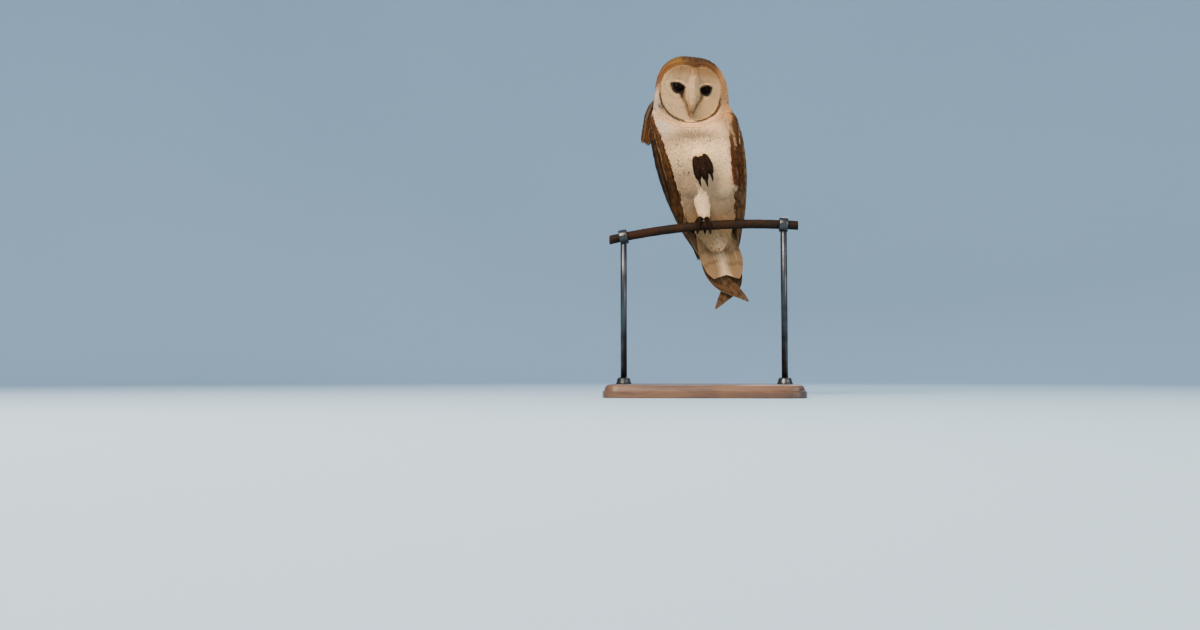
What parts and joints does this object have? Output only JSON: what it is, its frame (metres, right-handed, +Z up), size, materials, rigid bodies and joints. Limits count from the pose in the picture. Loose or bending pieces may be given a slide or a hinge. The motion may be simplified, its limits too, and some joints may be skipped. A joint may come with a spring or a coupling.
{
  "type": "barn owl model",
  "caption": "Life-size still model of a barn owl standing on one foot on a short cut iron rod, the other foot drawn up, held by a plain display stand.",
  "frame": {"origin": "middle of the stand base's underside, on the surface it stands on", "axes": "+Z up, the owl faces -Y, +X is the owl's left"},
  "size_m": [0.27, 0.19, 0.478],
  "materials": {
    "crown_feathers": "soft orange-brown feathers, finely speckled",
    "disc_feathers": "fine pale cream feathers, dark line round the lower rim",
    "breast_feathers": "soft cream-white down with a few dark spots",
    "back_feathers": "golden-brown feathers with grey and dark tips",
    "flight_feathers": "firm brown flight feathers, barred",
    "tail_feathers": "cream underside with faint brown bars",
    "bill": "pale pinkish horn",
    "eye": "wet black-brown",
    "toe_skin": "dark scaled skin",
    "claw": "dark polished horn",
    "perch_iron": "rough brown weathered iron rod",
    "stand_board": "dark satin hardwood",
    "stand_steel": "satin black"
  },
  "bodies": {
    "root": {"bill_lower": "bill", "bill_upper": "bill", "claw_left_hind": "claw", "claw_left_inner": "claw", "claw_left_middle": "claw", "claw_left_outer": "claw", "claw_right_hind": "claw", "claw_right_inner": "claw", "claw_right_middle": "claw", "claw_right_outer": "claw", "eye_left": "eye", "eye_right": "eye", "face_disc": "disc_feathers", "head": "crown_feathers", "leg_left": "breast_feathers", "leg_right": "breast_feathers", "mantle": "back_feathers", "neck": "breast_feathers", "perch": "perch_iron", "primaries_left": "flight_feathers", "primaries_right": "flight_feathers", "scapulars_right": "back_feathers", "stand_base": "stand_board", "stand_collar_left": "stand_steel", "stand_collar_right": "stand_steel", "stand_ferrule_left": "stand_steel", "stand_ferrule_right": "stand_steel", "stand_rod_left": "stand_steel", "stand_rod_right": "stand_steel", "tail": "tail_feathers", "thigh_left": "breast_feathers", "thigh_right": "breast_feathers", "toe_left_hind": "toe_skin", "toe_left_inner": "toe_skin", "toe_left_middle": "toe_skin", "toe_left_outer": "toe_skin", "toe_right_hind": "toe_skin", "toe_right_inner": "toe_skin", "toe_right_middle": "toe_skin", "toe_right_outer": "toe_skin", "trunk": "breast_feathers", "wing_left": "back_feathers", "wing_right": "back_feathers"}
  },
  "joints": []
}
